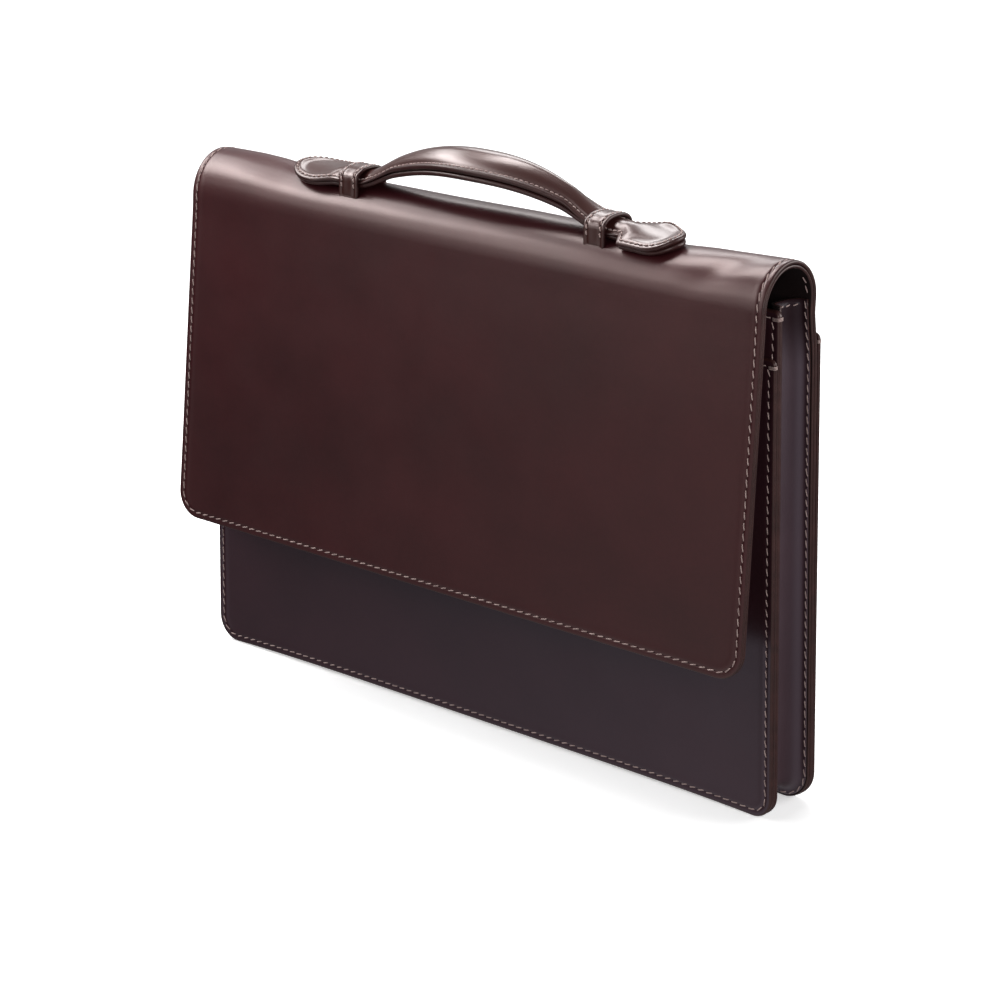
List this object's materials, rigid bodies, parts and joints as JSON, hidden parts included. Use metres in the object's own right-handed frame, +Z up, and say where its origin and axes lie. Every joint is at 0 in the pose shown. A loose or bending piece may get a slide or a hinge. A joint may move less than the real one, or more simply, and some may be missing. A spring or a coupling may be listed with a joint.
{
  "type": "leather briefcase",
  "caption": "Slim leather document briefcase with a full-width fold-over flap, gusseted sides, slip pockets and a padded top handle.",
  "frame": {"origin": "on the ground, under the middle of the whole object's box", "axes": "+X along the case to the right seen from the flap side, +Y towards the back of the case, +Z up towards the handle"},
  "size_m": [0.3592, 0.059, 0.2842],
  "materials": {
    "body_leather": "smooth semi-gloss dark brown",
    "flap_leather": "smooth semi-gloss dark brown",
    "handle_leather": "smooth semi-gloss dark brown",
    "lining": "matte dark lining",
    "board": "fibre board",
    "core_cord": "twisted cord filler",
    "magnet_plate": "nickel-plated disc",
    "edge_paint": "glossy burnished edge",
    "thread": "waxed thread"
  },
  "bodies": {
    "case": {"back_panel_leather": "body_leather", "back_panel_board": "board", "back_panel_lining": "lining", "rear_pocket_leather": "body_leather", "rear_pocket_lining": "lining", "gusset_leather": "body_leather", "gusset_lining": "lining", "front_panel_leather": "body_leather", "front_panel_board": "board", "front_panel_lining": "lining", "front_pocket_leather": "body_leather", "front_pocket_lining": "lining", "front_magnet_left": "magnet_plate", "front_magnet_right": "magnet_plate"},
    "flap_bridge": {"flap_bridge_leather": "flap_leather", "flap_bridge_lining": "lining", "handle_reinforcement": "board", "keeper_left": "handle_leather", "keeper_right": "handle_leather"},
    "flap_front": {"flap_front_leather": "flap_leather", "flap_front_board": "board", "flap_front_lining": "lining", "flap_magnet_left": "magnet_plate", "flap_magnet_right": "magnet_plate"},
    "handle": {"handle_cover": "handle_leather", "handle_core": "core_cord", "handle_underside": "handle_leather"}
  },
  "joints": [
    {"name": "flap_back_fold", "type": "hinge", "parent": "case", "child": "flap_bridge", "pos_m": [0, 0.0276, 0.232], "axis": [-1, 0, 0], "range_deg": [0, 180]},
    {"name": "flap_front_fold", "type": "hinge", "parent": "flap_bridge", "child": "flap_front", "pos_m": [0, -0.0154, 0.2387], "axis": [-1, 0, 0], "range_deg": [-7.8, 90]},
    {"name": "handle_slide", "type": "slide", "parent": "flap_bridge", "child": "handle", "axis": [1, 0, 0], "range_m": [-0.0038, 0]}
  ]
}
